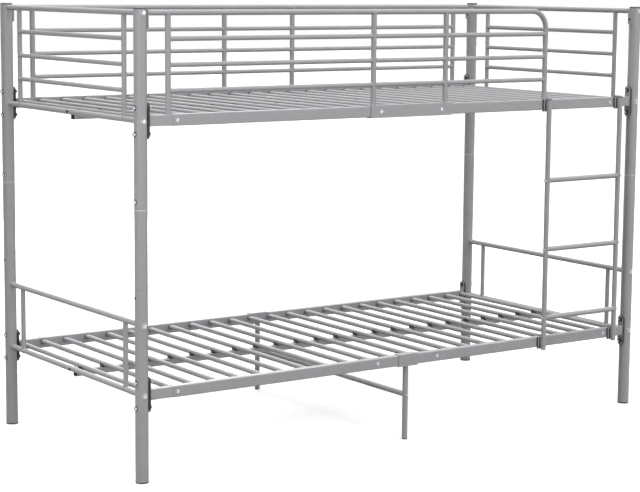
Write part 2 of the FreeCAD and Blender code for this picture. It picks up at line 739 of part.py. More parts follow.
end_outer = "post_x + end_rail_diameter / 2 + weld_gap"
for bunk in ("upper", "lower"):
    level = bunk + "_bunk"
    label = bunk + "_centre_support"
    node(label, copy(label, support, 0, 0, level))
    clips = [copy("clip_at", clip, x, 0, level + " + slat_rise")
             for x in rail_slats + end_slats]
    node(bunk + "_slat_clips", group(bunk + "_slat_clips", clips))
    support_plugs += [copy("plug_left", support_plug, 0, 0, level),
                      copy("plug_right", support_plug, 0, 0, level, HALF_TURN)]
    support_screws += [copy("screw_left", pin, "-(%s)" % end_outer, 0, level),
                       copy("screw_right", pin, end_outer, 0, level, HALF_TURN)]
node("centre_support_plugs", group("support_plugs", support_plugs))
node("centre_support_screws", group("support_screws", support_screws))

# Middle legs: a saddle round the joint of the lower rail, open to the bed, on a round leg
saddle_side = "rail_side + slip"
saddle = cut(
    "saddle",
    block("saddle_block", ("-saddle_half", "saddle_half"),
          ("-(%s) - saddle_wall" % saddle_side, "rail_side"),
          ("lower_bunk - saddle_outer", "lower_bunk + saddle_outer")),
    block("saddle_inside", ("-post_x", "post_x"), ("-(%s)" % saddle_side, "rail_width"),
          ("lower_bunk - saddle_inner", "lower_bunk + saddle_inner")),
    *[rod("saddle_hole", "screw_hole", x, 0, (0, "lower_bunk"))
      for x in ("-saddle_screw", "saddle_screw")])
leg_tube = tube("leg_tube", "leg_diameter", "tube_wall", 0, 0, ("leg_foot", "saddle_bottom"),
                rod("leg_hole", "pin_hole", 0, ("-leg_diameter", "leg_diameter"), "crossbar_height"))
leg = group("leg", [saddle, leg_tube])
node("centre_leg_front", copy("centre_leg_front", leg, 0, "-post_y"))
node("centre_leg_rear", copy("centre_leg_rear", leg, 0, "post_y", turn=HALF_TURN))
leg_cap = join("leg_cap", *plug("leg_cap", "leg_diameter", "leg_foot", "leg_bore", "leg_plug"))
leg_caps = [copy("leg_cap_at", leg_cap, 0, y, "leg_foot") for y in between_posts]
node("centre_leg_caps", group("leg_caps", leg_caps))
leg_cope = "leg_diameter + 2 * weld_gap"
leg_copes = [rod("leg_cope", leg_cope, 0, y, (0, "saddle_bottom")) for y in between_posts]
bar_end = "post_y - leg_diameter / 2 - weld_gap"
crossbar = group("crossbar", [
    tube("crossbar_tube", "crossbar_diameter", "tube_wall", 0, between_posts, "crossbar_height",
         *leg_copes),
    insert("crossbar_front", "crossbar_bore", "pin_thread", 0,
           ("-(%s)" % bar_end, "-(%s) + insert_length" % bar_end), "crossbar_height"),
    insert("crossbar_rear", "crossbar_bore", "pin_thread", 0,
           (bar_end + " - insert_length", bar_end), "crossbar_height"),
])
node("centre_leg_crossbar", crossbar)
leg_outer = "post_y + leg_diameter / 2"
leg_bolts = [copy("leg_bolt_front", pin, 0, "-(%s)" % leg_outer, "crossbar_height", X_TO_Y),
             copy("leg_bolt_rear", pin, 0, leg_outer, "crossbar_height", X_TO_MINUS_Y)]
node("centre_leg_bolts", group("leg_bolts", leg_bolts))

# Ladder: two stiles with a hook for each bunk, and three rungs between them. A hook is a plate in
# front of the rail with a tongue over it that passes the end of the guard.
rung_heights = ["rung_top - %d * rung_pitch" % step for step in range(RUNGS)]
bunk_levels = ("upper_bunk", "lower_bunk")
plate_span = ("-hook_plate / 2", "hook_plate / 2")
tongue_span = ("hook_plate / 2 - hook_width", "hook_plate / 2")
hook_legs = ("-hook_low", "hook_top")
hook_strips = [
    block("hook_outer", plate_span, ("-hook_side - hook_thickness", "-hook_side"), hook_legs),
    block("hook_inner", tongue_span, ("hook_side", "hook_side + hook_thickness"), hook_legs),
    block("hook_bridge", tongue_span, ("-hook_side - hook_thickness", "hook_side + hook_thickness"),
          ("hook_top", "hook_top + hook_thickness")),
]
hook = group("hook", hook_strips)
stile_span = ("stile_bottom + plug_flange", "stile_top - plug_flange")
through_stile = ("-stile_diameter", "stile_diameter")
stile_tube = tube("stile_tube", "stile_diameter", "tube_wall", 0, 0, stile_span,
                  *[rod("stile_hole", "pin_hole", through_stile, 0, z) for z in rung_heights])
stile_places = {"left": "ladder_left", "right": "ladder_right"}
for side, x in stile_places.items():
    solids = [copy("stile_at", stile_tube, x, "-stile_y")]
    solids += [copy("hook_at", hook, x, "-post_y", level) for level in bunk_levels]
    node("ladder_stile_" + side, group("ladder_stile_" + side, solids))
stile_cope = "stile_diameter + 2 * weld_gap"
stile_copes = [rod("stile_cope", stile_cope, x, "-stile_y", ("stile_bottom", "stile_top"))
               for x in stile_places.values()]
rung_left = "ladder_left + stile_radius + weld_gap"
rung_right = "ladder_right - stile_radius - weld_gap"
rungs = []
for z in rung_heights:
    rungs += [
        tube("rung", "stile_diameter", "tube_wall", ("ladder_left", "ladder_right"), "-stile_y", z,
             *stile_copes),
        insert("rung_left", "stile_bore", "pin_thread",
               (rung_left, rung_left + " + insert_length"), "-stile_y", z),
        insert("rung_right", "stile_bore", "pin_thread",
               (rung_right + " - insert_length", rung_right), "-stile_y", z),
    ]
node("ladder_rungs", group("ladder_rungs", rungs))
ladder_bolts = []
for z in rung_heights:
    ladder_bolts.append(copy("rung_bolt_left", pin, "ladder_left - stile_radius", "-stile_y", z))
    ladder_bolts.append(copy("rung_bolt_right", pin, "ladder_right + stile_radius", "-stile_y", z,
                             HALF_TURN))
node("ladder_bolts", group("ladder_bolts", ladder_bolts))
stile_plug = join("stile_plug", *plug("stile_plug", "stile_diameter", "plug_flange",
                                      "stile_bore", "plug_depth"))
stile_plugs = []
for x in stile_places.values():
    stile_plugs.append(copy("stile_plug_low", stile_plug, x, "-stile_y", stile_span[0]))
    stile_plugs.append(copy("stile_plug_high", stile_plug, x, "-stile_y", stile_span[1],
                            UPSIDE_DOWN))
node("ladder_plugs", group("stile_plugs", stile_plugs))


def hook_pad(name, half_width, half_height):
    """A soft lining that fills a hook down to the tube it hangs on."""
    side = half_width + " + pad_play"
    over = cut(name + "_over",
               block(name + "_block", tongue_span, ("-hook_side", "hook_side"), hook_legs),
               block(name + "_inside", ("-post_x", "post_x"), ("-(%s)" % side, side),
                     ("-rail_height", half_height + " + pad_play")))
    back = block(name + "_back", plate_span, ("-hook_side", "-(%s)" % side), hook_legs)
    return join(name, over, back)


pads = {
    "ladder_left": hook_pad("rail_pad", "rail_side", "rail_top"),
    "ladder_right": hook_pad("spigot_pad", "inner_side", "inner_top"),
}
node("ladder_hook_pads", group("hook_pads", [copy("pad_at", pad, x, "-post_y", level)
                                             for x, pad in pads.items() for level in bunk_levels]))

# Bolts of the frame, the nuts on the rail brackets, and the screws of the side rails
frame_bolts = []
bracket_nuts = []
for x, y, turn in corners.values():
    outer_x = "%s %s post_radius" % (x, "-" if turn is STRAIGHT else "+")
    nut_x = "-plate_inner" if turn is STRAIGHT else "plate_inner"
    for z in plate_bolts("upper_bunk") + plate_bolts("lower_bunk"):
        frame_bolts.append(copy("plate_bolt", bolt, outer_x, y, z, turn))
        bracket_nuts.append(copy("plate_nut", nut, nut_x, y, z, turn))
    front = y == "-post_y"
    outer_y = "%s %s post_radius" % (y, "-" if front else "+")
    for z in ("top_rail", "upper_bunk", "lower_end_top", "lower_bunk"):
        frame_bolts.append(copy("end_bolt", bolt, x, outer_y, z, X_TO_Y if front else X_TO_MINUS_Y))
guard_bolt_z = "upper_bunk - rail_top"
frame_bolts.append(copy("guard_bolt", bolt, "guard_end", "-post_y", guard_bolt_z, X_TO_Z))
node("frame_bolts", group("frame_bolts", frame_bolts))
node("bracket_nuts", group("bracket_nuts", bracket_nuts))

rail_screws = []
for level in bunk_levels:
    for sign, turn in (("-", X_TO_Y), ("", X_TO_MINUS_Y)):
        face = "rail_side"
        joint_face = face if level == "lower_bunk" else "rail_side + slip + channel_wall"
        rail_y = "%s(post_y + %s)" % (sign, face)
        joint_y = "%s(post_y + %s)" % (sign, joint_face)
        for x in ("-rail_screw", "rail_screw"):
            rail_screws.append(copy("rail_screw_at", screw, x, rail_y, level, turn))
        for x in ("-joint_screw", "joint_screw"):
            rail_screws.append(copy("joint_screw_at", screw, x, joint_y, level, turn))
for y in between_posts:
    for x in ("-saddle_screw", "saddle_screw"):
        rail_screws.append(copy("saddle_screw_at", screw, x, y, "saddle_bottom", X_TO_Z))
node("rail_screws", group("rail_screws", rail_screws))

doc.recompute()
os.makedirs("parts", exist_ok=True)
for piece in doc.Objects:
    if "Invalid" in piece.State or "Error" in piece.State:
        raise RuntimeError("%s did not compute: %s" % (piece.Label, piece.State))
for piece in nodes:
    shape = Part.getShape(piece)
    if shape.isNull() or not shape.isValid():
        raise RuntimeError("%s has no valid shape" % piece.Label)
    shape.exportStep("parts/%s.step" % piece.Label)
    print("%-26s %3d solids" % (piece.Label, len(shape.Solids)))
print(len(nodes), "nodes")
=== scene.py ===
import math

import bmesh
import bpy
from mathutils import Matrix, Vector


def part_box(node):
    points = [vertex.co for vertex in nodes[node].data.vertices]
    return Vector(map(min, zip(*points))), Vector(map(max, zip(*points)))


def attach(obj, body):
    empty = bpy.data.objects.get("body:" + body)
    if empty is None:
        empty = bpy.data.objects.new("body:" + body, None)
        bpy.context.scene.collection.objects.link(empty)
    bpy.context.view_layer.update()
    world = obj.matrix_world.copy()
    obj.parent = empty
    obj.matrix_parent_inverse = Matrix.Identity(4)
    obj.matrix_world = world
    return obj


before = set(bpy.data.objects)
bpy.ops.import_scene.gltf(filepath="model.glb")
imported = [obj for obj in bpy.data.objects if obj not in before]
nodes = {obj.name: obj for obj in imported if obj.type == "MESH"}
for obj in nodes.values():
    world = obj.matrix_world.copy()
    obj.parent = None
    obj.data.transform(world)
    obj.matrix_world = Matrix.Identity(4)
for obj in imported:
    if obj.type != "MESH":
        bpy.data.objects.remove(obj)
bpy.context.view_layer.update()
bpy.context.scene.view_settings.view_transform = "Standard"


# Corner posts. Each is three lengths of round steel tube that plug together on hidden sleeves.
# The tube is drawn, cut and punched, then powder coated in silver-grey with fine aluminium
# flake.
def linear(hex_colour):
    """An sRGB hex colour as linear red, green, blue and alpha."""
    channels = [int(hex_colour[i:i + 2], 16) / 255 for i in (1, 3, 5)]
    return [c / 12.92 if c <= 0.04045 else ((c + 0.055) / 1.055) ** 2.4 for c in channels] + [1.0]


def add_node(tree, kind, settings=None, links=None):
    """Add a shader node with its properties, socket values and links."""
    node = tree.nodes.new(kind)
    for name, setting in (settings or {}).items():
        if isinstance(name, str) and hasattr(node, name):
            setattr(node, name, setting)
        else:
            node.inputs[name].default_value = setting
    for name, output in (links or {}).items():
        tree.links.new(output, node.inputs[name])
    return node


def new_material(name):
    """An empty material with its node tree and the output to link to."""
    material = bpy.data.materials.new(name)
    material.use_nodes = True
    tree = material.node_tree
    tree.nodes.clear()
    return material, tree, add_node(tree, "ShaderNodeOutputMaterial")


def per_metre(millimetres):
    """The texture scale that gives features of this size."""
    return 1000.0 / millimetres


def dress(material, *names):
    """Give CAD nodes their material."""
    for name in names:
        for slot in nodes[name].material_slots:
            slot.material = material


def powder_coat(name, dark, light):
    """Polyester powder coat with aluminium flake: satin, a little metallic, finely pebbled."""
    # Real flake is 0.05 mm across; it is drawn at 1.5 mm so that it still shows
    flake_mm, cloud_mm, peel_mm = 1.5, 60.0, 2.2
    material, tree, output = new_material(name)
    place = add_node(tree, "ShaderNodeTexCoord").outputs["Object"]
    flake = add_node(tree, "ShaderNodeTexVoronoi", {"Scale": per_metre(flake_mm)},
                     {"Vector": place})
    cloud = add_node(tree, "ShaderNodeTexNoise", {"Scale": per_metre(cloud_mm), "Detail": 3.0},
                     {"Vector": place})
    spread = add_node(tree, "ShaderNodeMath", {"operation": "MULTIPLY_ADD", 1: 0.25},
                      {0: flake.outputs["Distance"], 2: cloud.outputs["Fac"]})
    colour = add_node(tree, "ShaderNodeValToRGB", None, {"Fac": spread.outputs[0]})
    colour.color_ramp.elements[0].position = 0.3
    colour.color_ramp.elements[0].color = linear(dark)
    colour.color_ramp.elements[1].position = 0.9
    colour.color_ramp.elements[1].color = linear(light)
    rough = add_node(tree, "ShaderNodeMapRange", {"To Min": 0.4, "To Max": 0.52},
                     {"Value": cloud.outputs["Fac"]})
    # Orange peel of the cured powder
    peel = add_node(tree, "ShaderNodeTexNoise", {"Scale": per_metre(peel_mm), "Detail": 2.0},
                    {"Vector": place})
    bump = add_node(tree, "ShaderNodeBump", {"Strength": 0.12, "Distance": 0.0004},
                    {"Height": peel.outputs["Fac"]})
    shader = add_node(tree, "ShaderNodeBsdfPrincipled",
                      {"Metallic": 0.06, "Specular IOR Level": 0.2},
                      {"Base Color": colour.outputs["Color"], "Roughness": rough.outputs["Result"],
                       "Normal": bump.outputs["Normal"]})
    tree.links.new(shader.outputs["BSDF"], output.inputs["Surface"])
    return material


# Satin silver: a broad soft highlight along each tube, and a faint pebble close up
silver_coat = powder_coat("silver_powder_coat", "#a5a3a6", "#adabae")
corners = ["front_left", "front_right", "rear_left", "rear_right"]
dress(silver_coat, *["post_%s_%s" % (length, corner)
                     for length in ("lower", "middle", "upper") for corner in corners])


# Sleeves inside the post and rail joints. They are rolled from bare steel strip and pushed into
# the tube ends, so they show only as a thin line in the seams. A proud metal ring fills the
# upper seam of each post, and its paleness is a painted highlight along the seam's edge.
def steel(name, dark, light, roughness, grain_mm):
    """Bare or plated steel with a fine drawn grain."""
    # Real grain is 0.1 mm wide; it is drawn at a few millimetres so that it still shows
    material, tree, output = new_material(name)
    place = add_node(tree, "ShaderNodeTexCoord").outputs["Object"]
    noise = add_node(tree, "ShaderNodeTexNoise", {"Scale": per_metre(grain_mm), "Detail": 4.0},
                     {"Vector": place})
    rough = add_node(tree, "ShaderNodeMapRange",
                     {"To Min": roughness - 0.06, "To Max": roughness + 0.08},
                     {"Value": noise.outputs["Fac"]})
    bump = add_node(tree, "ShaderNodeBump", {"Strength": 0.15, "Distance": 0.0002},
                    {"Height": noise.outputs["Fac"]})
    colour = add_node(tree, "ShaderNodeValToRGB", None, {"Fac": noise.outputs["Fac"]})
    colour.color_ramp.elements[0].position = 0.25
    colour.color_ramp.elements[0].color = linear(dark)
    colour.color_ramp.elements[1].position = 0.75
    colour.color_ramp.elements[1].color = linear(light)
    shader = add_node(tree, "ShaderNodeBsdfPrincipled", {"Metallic": 1.0},
                      {"Base Color": colour.outputs["Color"], "Roughness": rough.outputs["Result"],
                       "Normal": bump.outputs["Normal"]})
    tree.links.new(shader.outputs["BSDF"], output.inputs["Surface"])
    return material


def round_ring(shape, ring_radius, wire_radius, sides, steps):
    """Spin a small circle into a ring round the z axis."""
    first = len(shape.verts)
    profile = bmesh.ops.create_circle(shape, segments=sides, radius=wire_radius)["verts"]
    bmesh.ops.rotate(shape, verts=profile, matrix=Matrix.Rotation(math.pi / 2, 3, "X"))
    bmesh.ops.translate(shape, verts=profile, vec=(ring_radius, 0, 0))
    outline = list({edge for vert in profile for edge in vert.link_edges})
    bmesh.ops.spin(shape, geom=profile + outline, axis=(0, 0, 1), angle=2 * math.pi, steps=steps,
                   use_merge=True)
    shape.verts.ensure_lookup_table()
    return shape.verts[first:]


def set_in_place(name, shape, material, body):
    """Make a finished shape a piece of the bed that moves with a body."""
    bmesh.ops.recalc_face_normals(shape, faces=shape.faces)
    for face in shape.faces:
        face.smooth = True
    data = bpy.data.meshes.new(name)
    shape.to_mesh(data)
    shape.free()
    data.materials.append(material)
    piece = bpy.data.objects.new(name, data)
    bpy.context.scene.collection.objects.link(piece)
    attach(piece, body)


# Cold-rolled steel: mid grey with a dull, slightly streaky glint
bare_steel = steel("cold_rolled_steel", "#6c6e70", "#7c7e80", 0.4, 3.0)
dress(bare_steel, "post_joint_sleeves", "rail_joint_sleeves")
# Pale metal ring: it stands proud and catches light itself, and its tint paler than the coat is
# painted highlight, so the upper seam shows as a fine light line
seam_highlight_metal = steel("pale_seam_metal_painted_highlight", "#c6c6c4", "#d4d4d2", 0.3, 2.0)
post_x, post_y, post_radius = 1.020, 0.4625, 0.0205
post_sides = [(x_side, y_side) for x_side in (-1, 1) for y_side in (-1, 1)]
upper_seam = 0.850
ring_wire, ring_proud = 0.0009, 0.0005
ring_sides, ring_steps = 8, 48
seam_highlight_rings = bmesh.new()
for x_side, y_side in post_sides:
    ring = round_ring(seam_highlight_rings, post_radius + ring_proud - ring_wire, ring_wire, ring_sides,
                      ring_steps)
    bmesh.ops.translate(seam_highlight_rings, verts=ring, vec=(x_side * post_x, y_side * post_y, upper_seam))
set_in_place("post_seam_rings", seam_highlight_rings, seam_highlight_metal, "bed_frame")


# Caps and feet of the posts. They are moulded in polypropylene and pressed into the tube ends,
# with a faint spark-eroded grain from the mould.
def moulded(name, dark, light, roughness, grain_mm, gloss=0.5):
    """Moulded plastic or rubber with the grain of its mould."""
    # Real mould grain is 0.2 mm wide; it is drawn at about 1 mm so that it still shows
    material, tree, output = new_material(name)
    place = add_node(tree, "ShaderNodeTexCoord").outputs["Object"]
    noise = add_node(tree, "ShaderNodeTexNoise", {"Scale": per_metre(grain_mm), "Detail": 3.0},
                     {"Vector": place})
    colour = add_node(tree, "ShaderNodeValToRGB", None, {"Fac": noise.outputs["Fac"]})
    colour.color_ramp.elements[0].position = 0.3
    colour.color_ramp.elements[0].color = linear(dark)
    colour.color_ramp.elements[1].position = 0.7
    colour.color_ramp.elements[1].color = linear(light)
    rough = add_node(tree, "ShaderNodeMapRange",
                     {"To Min": roughness - 0.05, "To Max": roughness + 0.07},
                     {"Value": noise.outputs["Fac"]})
    bump = add_node(tree, "ShaderNodeBump", {"Strength": 0.2, "Distance": 0.0002},
                    {"Height": noise.outputs["Fac"]})
    shader = add_node(tree, "ShaderNodeBsdfPrincipled", {"IOR": 1.49, "Specular IOR Level": gloss},
                      {"Base Color": colour.outputs["Color"], "Roughness": rough.outputs["Result"],
                       "Normal": bump.outputs["Normal"]})
    tree.links.new(shader.outputs["BSDF"], output.inputs["Surface"])
    return material


# Grey polypropylene: a darker, duller grey than the coat, so the tube ends read as closed
grey_plastic = moulded("grey_polypropylene", "#4b4b4d", "#565658", 0.5, 1.6)
dress(grey_plastic, "post_top_caps", "post_foot_caps")

# End frames. Thin round tubes are coped to fit each other and welded all round, then powder
# coated, so the rippled weld beads show through the coat. Their rails are bolted through the
# posts.
along_x, along_y, along_z = Vector((1, 0, 0)), Vector((0, 1, 0)), Vector((0, 0, 1))
bead_radius, bead_sides, bead_steps = 0.0016, 6, 26
bead_ripples, ripple_depth = 13, 0.15


def stand_on(shape, ring, place, outward, main_axis, main_radius=None):
    """Set a ring on a flat, or bent to fit on a round tube that runs along the main axis."""
    if main_radius:
        # Past this the tube falls away too steeply to be followed
        widest = 0.95 * main_radius
        for vert in ring:
            across = min(abs(vert.co.x), widest)
            vert.co.z -= main_radius - math.sqrt(main_radius ** 2 - across ** 2)
    axes = Matrix((main_axis.cross(outward), main_axis, outward)).transposed().to_4x4()
    bmesh.ops.transform(shape, verts=ring, matrix=Matrix.Translation(place) @ axes)


def weld_bead(beads, place, outward, main_axis, tube_radius, main_radius=None):
    """Lay a bead round the end of a tube that stands on another tube, or on a flat."""
    ring = round_ring(beads, tube_radius, bead_radius, bead_sides, bead_steps)
    for vert in ring:
        turn = math.atan2(vert.co.y, vert.co.x)
        core = Vector((math.cos(turn), math.sin(turn), 0)) * tube_radius
        vert.co = core + (vert.co - core) * (1 + ripple_depth * math.sin(bead_ripples * turn))
    stand_on(beads, ring, place, outward, main_axis, main_radius)


end_rail_radius, upright_radius, bar_radius = 0.009, 0.008, 0.0075
upright_y = 0.362
bar_heights = (1.208, 1.287, 1.366)
for bunk, heights in (("upper", bar_heights), ("lower", ())):
    for side in ("left", "right"):
        label = "%s_end_frame_%s" % (bunk, side)
        dress(silver_coat, label)
        low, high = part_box(label)
        x = (low[0] + high[0]) / 2
        beads = bmesh.new()
        for y, inward in ((-upright_y, along_y), (upright_y, -along_y)):
            weld_bead(beads, (x, y, low[2] + 2 * end_rail_radius), along_z, along_y,
                      upright_radius, end_rail_radius)
            weld_bead(beads, (x, y, high[2] - 2 * end_rail_radius), -along_z, along_y,
                      upright_radius, end_rail_radius)
            for z in heights:
                weld_bead(beads, Vector((x, y, z)) + inward * upright_radius, inward, along_z,
                          bar_radius, upright_radius)
        set_in_place(label + "_welds", beads, silver_coat, "bed_frame")

# Side rails and their brackets. Each rail is two halves of rectangular tube with rolled corners.
# Its ends slide over the spigots of steel plates that are bolted to the posts, and a fillet weld
# joins each spigot to its plate. All have the powder coat.
bunk_heights = {"upper": 1.120, "lower": 0.276}
rail_y = post_y
plate_face = 0.99545
fillet_depth, fillet_half_width, fillet_half_height = 0.002, 0.0129, 0.0184
fillet_rounding = 0.0009


def rounded_bar(shape, corner, opposite, rounding):
    """Add a box between two opposite corners with its edges rounded."""
    corner, opposite = Vector(corner), Vector(opposite)
    sides = [abs(length) for length in opposite - corner]
    place = Matrix.Translation((corner + opposite) / 2) @ Matrix.Diagonal((*sides, 1))
    corner_verts = bmesh.ops.create_cube(shape, size=1.0, matrix=place)["verts"]
    edges = list({edge for vert in corner_verts for edge in vert.link_edges})
    bmesh.ops.bevel(shape, geom=edges, offset=rounding, segments=2, profile=0.5, affect="EDGES",
                    material=-1)


for bunk, rail_z in bunk_heights.items():
    dress(silver_coat, bunk + "_rail_brackets",
          *["%s_rail_%s" % (bunk, corner) for corner in corners])
    fillets = bmesh.new()
    for side in (-1, 1):
        for y in (-rail_y, rail_y):
            rounded_bar(fillets,
                        (side * plate_face, y - fillet_half_width, rail_z - fillet_half_height),
                        (side * (plate_face - fillet_depth), y + fillet_half_width,
                         rail_z + fillet_half_height), fillet_rounding)
    set_in_place(bunk + "_bracket_fillets", fillets, silver_coat, "bed_frame")


# Bracket shade. Black edging round each bracket plate, and two black strips in the wedge between
# the flat plate and the round post, are painted shade that darkens the shadowed gap at the post.
def obround_ring(shape, place, half_width, half_height, width, depth):
    """Add a flat ring with round ends, standing across x, from place towards +x."""
    loop_sides = 36
    # Turned half a side, so that no corner lies where the ring is split into its two ends
    turned = Matrix.Rotation(math.pi / loop_sides, 4, "Z")
    loops = []
    for radius in (half_width, half_width + width):
        loop = bmesh.ops.create_circle(shape, segments=loop_sides, radius=radius,
                                       matrix=turned)["verts"]
        for vert in loop:
            rise = math.copysign(half_height - half_width, vert.co.y)
            vert.co = Vector((0, vert.co.x, vert.co.y + rise)) + Vector(place)
        loops += list({edge for vert in loop for edge in vert.link_edges})
    band = bmesh.ops.bridge_loops(shape, edges=loops)["faces"]
    raised = bmesh.ops.extrude_face_region(shape, geom=band, use_keep_orig=True)["geom"]
    bmesh.ops.translate(shape, verts=[v for v in raised if isinstance(v, bmesh.types.BMVert)],
                        vec=(depth, 0, 0))


# Black polypropylene: nearly black, with a weak sheen that lets its edges read
black_plastic = moulded("black_polypropylene", "#161617", "#1e1e20", 0.48, 1.2)
plate_half_width, plate_half_height, plate_depth = 0.014, 0.0545, 0.004
plate_back = plate_face + plate_depth
shade_edge_width = 0.0009
strip_inner, strip_outer = 0.0095, plate_half_width + shade_edge_width
strip_half_height, strip_depth, strip_rounding = 0.0445, 0.0021, 0.0006
# The black edging and strips laid round each bracket plate are painted shade for the gap at the
# post
for bunk, rail_z in bunk_heights.items():
    bracket_shade_pieces = bmesh.new()
    for side in (-1, 1):
        ring_x = min(side * plate_face, side * plate_back)
        for y in (-rail_y, rail_y):
            obround_ring(bracket_shade_pieces, (ring_x, y, rail_z), plate_half_width, plate_half_height,
                         shade_edge_width, plate_depth)
            for edge in (-1, 1):
                rounded_bar(bracket_shade_pieces,
                            (side * plate_back, y + edge * strip_inner,
                             rail_z - strip_half_height),
                            (side * (plate_back + strip_depth), y + edge * strip_outer,
                             rail_z + strip_half_height), strip_rounding)
    set_in_place(bunk + "_bracket_painted_shade", bracket_shade_pieces, black_plastic, "bed_frame")

# Guards of the upper bunk. Each is a frame of round steel tube on a folded channel that bridges
# the rail joint, and ends on tabs screwed to the posts. Stands and bars are welded all round
# before the powder coat.
dress(silver_coat, "front_guard_rail", "rear_guard_rail", "guard_end_tabs")
guard_radius = 0.009
guard_top, channel_top = 1.445, 1.1407
outer_stand, channel_stand, front_drop = 0.924, 0.150, 0.593
for label, y, right_end in (("front_guard", -rail_y, front_drop),
                            ("rear_guard", rail_y, outer_stand)):
    uprights = (-outer_stand, -channel_stand, channel_stand, right_end)
    beads = bmesh.new()
    for x in uprights:
        if x != front_drop:
            weld_bead(beads, (x, y, guard_top - guard_radius), -along_z, along_x,
                      guard_radius, guard_radius)
        if abs(x) == channel_stand:
            weld_bead(beads, (x, y, channel_top), along_z, along_x, guard_radius)
    for left, right in zip(uprights, uprights[1:]):
        for z in bar_heights:
            weld_bead(beads, (left + guard_radius, y, z), along_x, along_z,
                      bar_radius, guard_radius)
            weld_bead(beads, (right - guard_radius, y, z), -along_x, along_z,
                      bar_radius, guard_radius)
    set_in_place(label + "_welds", beads, silver_coat, "bed_frame")

# Slats. Round steel tubes with the powder coat lie across each bunk. Their ends sit in grey
# polypropylene bushes that are pressed into holes in the side rails.
dress(silver_coat, "upper_slats", "lower_slats")
dress(grey_plastic, "upper_slat_bushes", "lower_slat_bushes")

# Centre supports. A coated square tube runs under the slats of each bunk, with a moulded clip on
# it for each slat. A screwed ear at each end fixes it to the end rail, and plugs are pressed
# into its ends.
dress(silver_coat, "upper_centre_support", "lower_centre_support")
dress(black_plastic, "upper_slat_clips", "lower_slat_clips")
# Black polyethylene: deep black and dull, with hardly a highlight
plug_plastic = moulded("black_polyethylene", "#0c0c0d", "#121213", 0.62, 1.0, gloss=0.1)
dress(plug_plastic, "centre_support_plugs")

# Middle legs. Each is a round steel tube welded under a folded saddle that wraps the lower rail
# joint. A crossbar bolted between the two legs keeps them upright, and moulded caps close their
# feet.
dress(silver_coat, "centre_leg_front", "centre_leg_rear", "centre_leg_crossbar")
dress(black_plastic, "centre_leg_caps")
leg_radius, saddle_bottom = 0.0095, 0.2553
beads = bmesh.new()
for y in (-rail_y, rail_y):
    weld_bead(beads, (0, y, saddle_bottom), -along_z, along_x, leg_radius)
set_in_place("centre_leg_welds", beads, silver_coat, "bed_frame")

# Ladder. Two steel tube stiles with bolted rungs hang on the front rails. Their hooks are folded
# plates, welded to the stiles before the powder coat. Black rubber strips along each hook's edges
# and beside each stile are painted shade for the shadowed gaps where the hook meets the rail.
dress(silver_coat, "ladder_stile_left", "ladder_stile_right", "ladder_rungs")
dress(black_plastic, "ladder_plugs")
# Black rubber: black and matt, a little lighter where it faces the lamps
black_rubber = moulded("black_rubber", "#131313", "#1a1a1a", 0.72, 0.9)
dress(black_rubber, "ladder_hook_pads")
hook_front, hook_back = -0.4793, -0.4754
hook_half_width, hook_below, hook_above = 0.019, 0.023, 0.0193
shade_edge, shade_edge_proud, shade_edge_rounding = 0.002, 0.0006, 0.0008
shade_strip_left, shade_strip_right, shade_strip_below, shade_strip_above = 0.011, 0.007, 0.019, 0.015
shade_strip_rounding = 0.0005
seam_aside, seam_ahead, seam_drop = 0.0055, 0.001, 0.002
seam_radius, seam_half_length = 0.0019, 0.017
hook_shade_pieces, seams = bmesh.new(), bmesh.new()
# The black strips on each hook's left and bottom edges and beside the stile are painted shade
for label in ("ladder_stile_left", "ladder_stile_right"):
    low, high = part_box(label)
    x = (low[0] + high[0]) / 2
    for rail_z in bunk_heights.values():
        left, right = x - hook_half_width - shade_edge_proud, x + hook_half_width + shade_edge_proud
        front, bottom = hook_front - shade_edge_proud, rail_z - hook_below - shade_edge_proud
        rounded_bar(hook_shade_pieces, (left, front, bottom),
                    (left + shade_edge, hook_back, rail_z + hook_above), shade_edge_rounding)
        rounded_bar(hook_shade_pieces, (left + shade_edge - shade_edge_rounding, front, bottom),
                    (right, hook_back, bottom + shade_edge), shade_edge_rounding)
        rounded_bar(hook_shade_pieces, (x - shade_strip_left, front - shade_edge_proud, rail_z - shade_strip_below),
                    (x - shade_strip_right, hook_front, rail_z + shade_strip_above), shade_strip_rounding)
        for side in (-1, 1):
            place = Matrix.Translation((x + side * seam_aside, hook_front - seam_ahead,
                                        rail_z - seam_drop))
            stretch = Matrix.Diagonal((seam_radius, seam_radius, seam_half_length, 1))
            bmesh.ops.create_uvsphere(seams, u_segments=8, v_segments=10, radius=1.0,
                                      matrix=place @ stretch)
set_in_place("ladder_hook_painted_shade", hook_shade_pieces, black_rubber, "ladder")
set_in_place("ladder_hook_welds", seams, silver_coat, "ladder")


# Fasteners. Bolts, screws and nuts are cold-headed steel with pressed recesses, zinc plated. The
# bolts through the posts and the screws of the rails sit on dished washers, those on the posts
# bent to fit the tube. Domed caps are pressed over the screws of the upper post joints.
def washer(shape, hole, rim, depth):
    """Turn a dished washer, higher at its hole than at its rim."""
    washer_steps = 28
    first = len(shape.verts)
    outline = ((hole, 0), (rim, 0), (rim, 0.4 * depth), (rim - 0.2 * depth, 0.6 * depth),
               (hole, depth))
    section = [shape.verts.new((across, 0, up)) for across, up in outline]
    edges = [shape.edges.new(pair) for pair in zip(section, section[1:] + section[:1])]
    bmesh.ops.spin(shape, geom=section + edges, axis=(0, 0, 1), angle=2 * math.pi,
                   steps=washer_steps, use_merge=True)
    shape.verts.ensure_lookup_table()
    return shape.verts[first:]


# Bright zinc: pale and fairly sharp, so each head is a small bright spot on the coat
bright_zinc = steel("bright_zinc_plate", "#a4a7aa", "#b8babc", 0.34, 2.0)
dress(bright_zinc, "frame_bolts", "rail_screws", "centre_leg_bolts", "ladder_bolts")
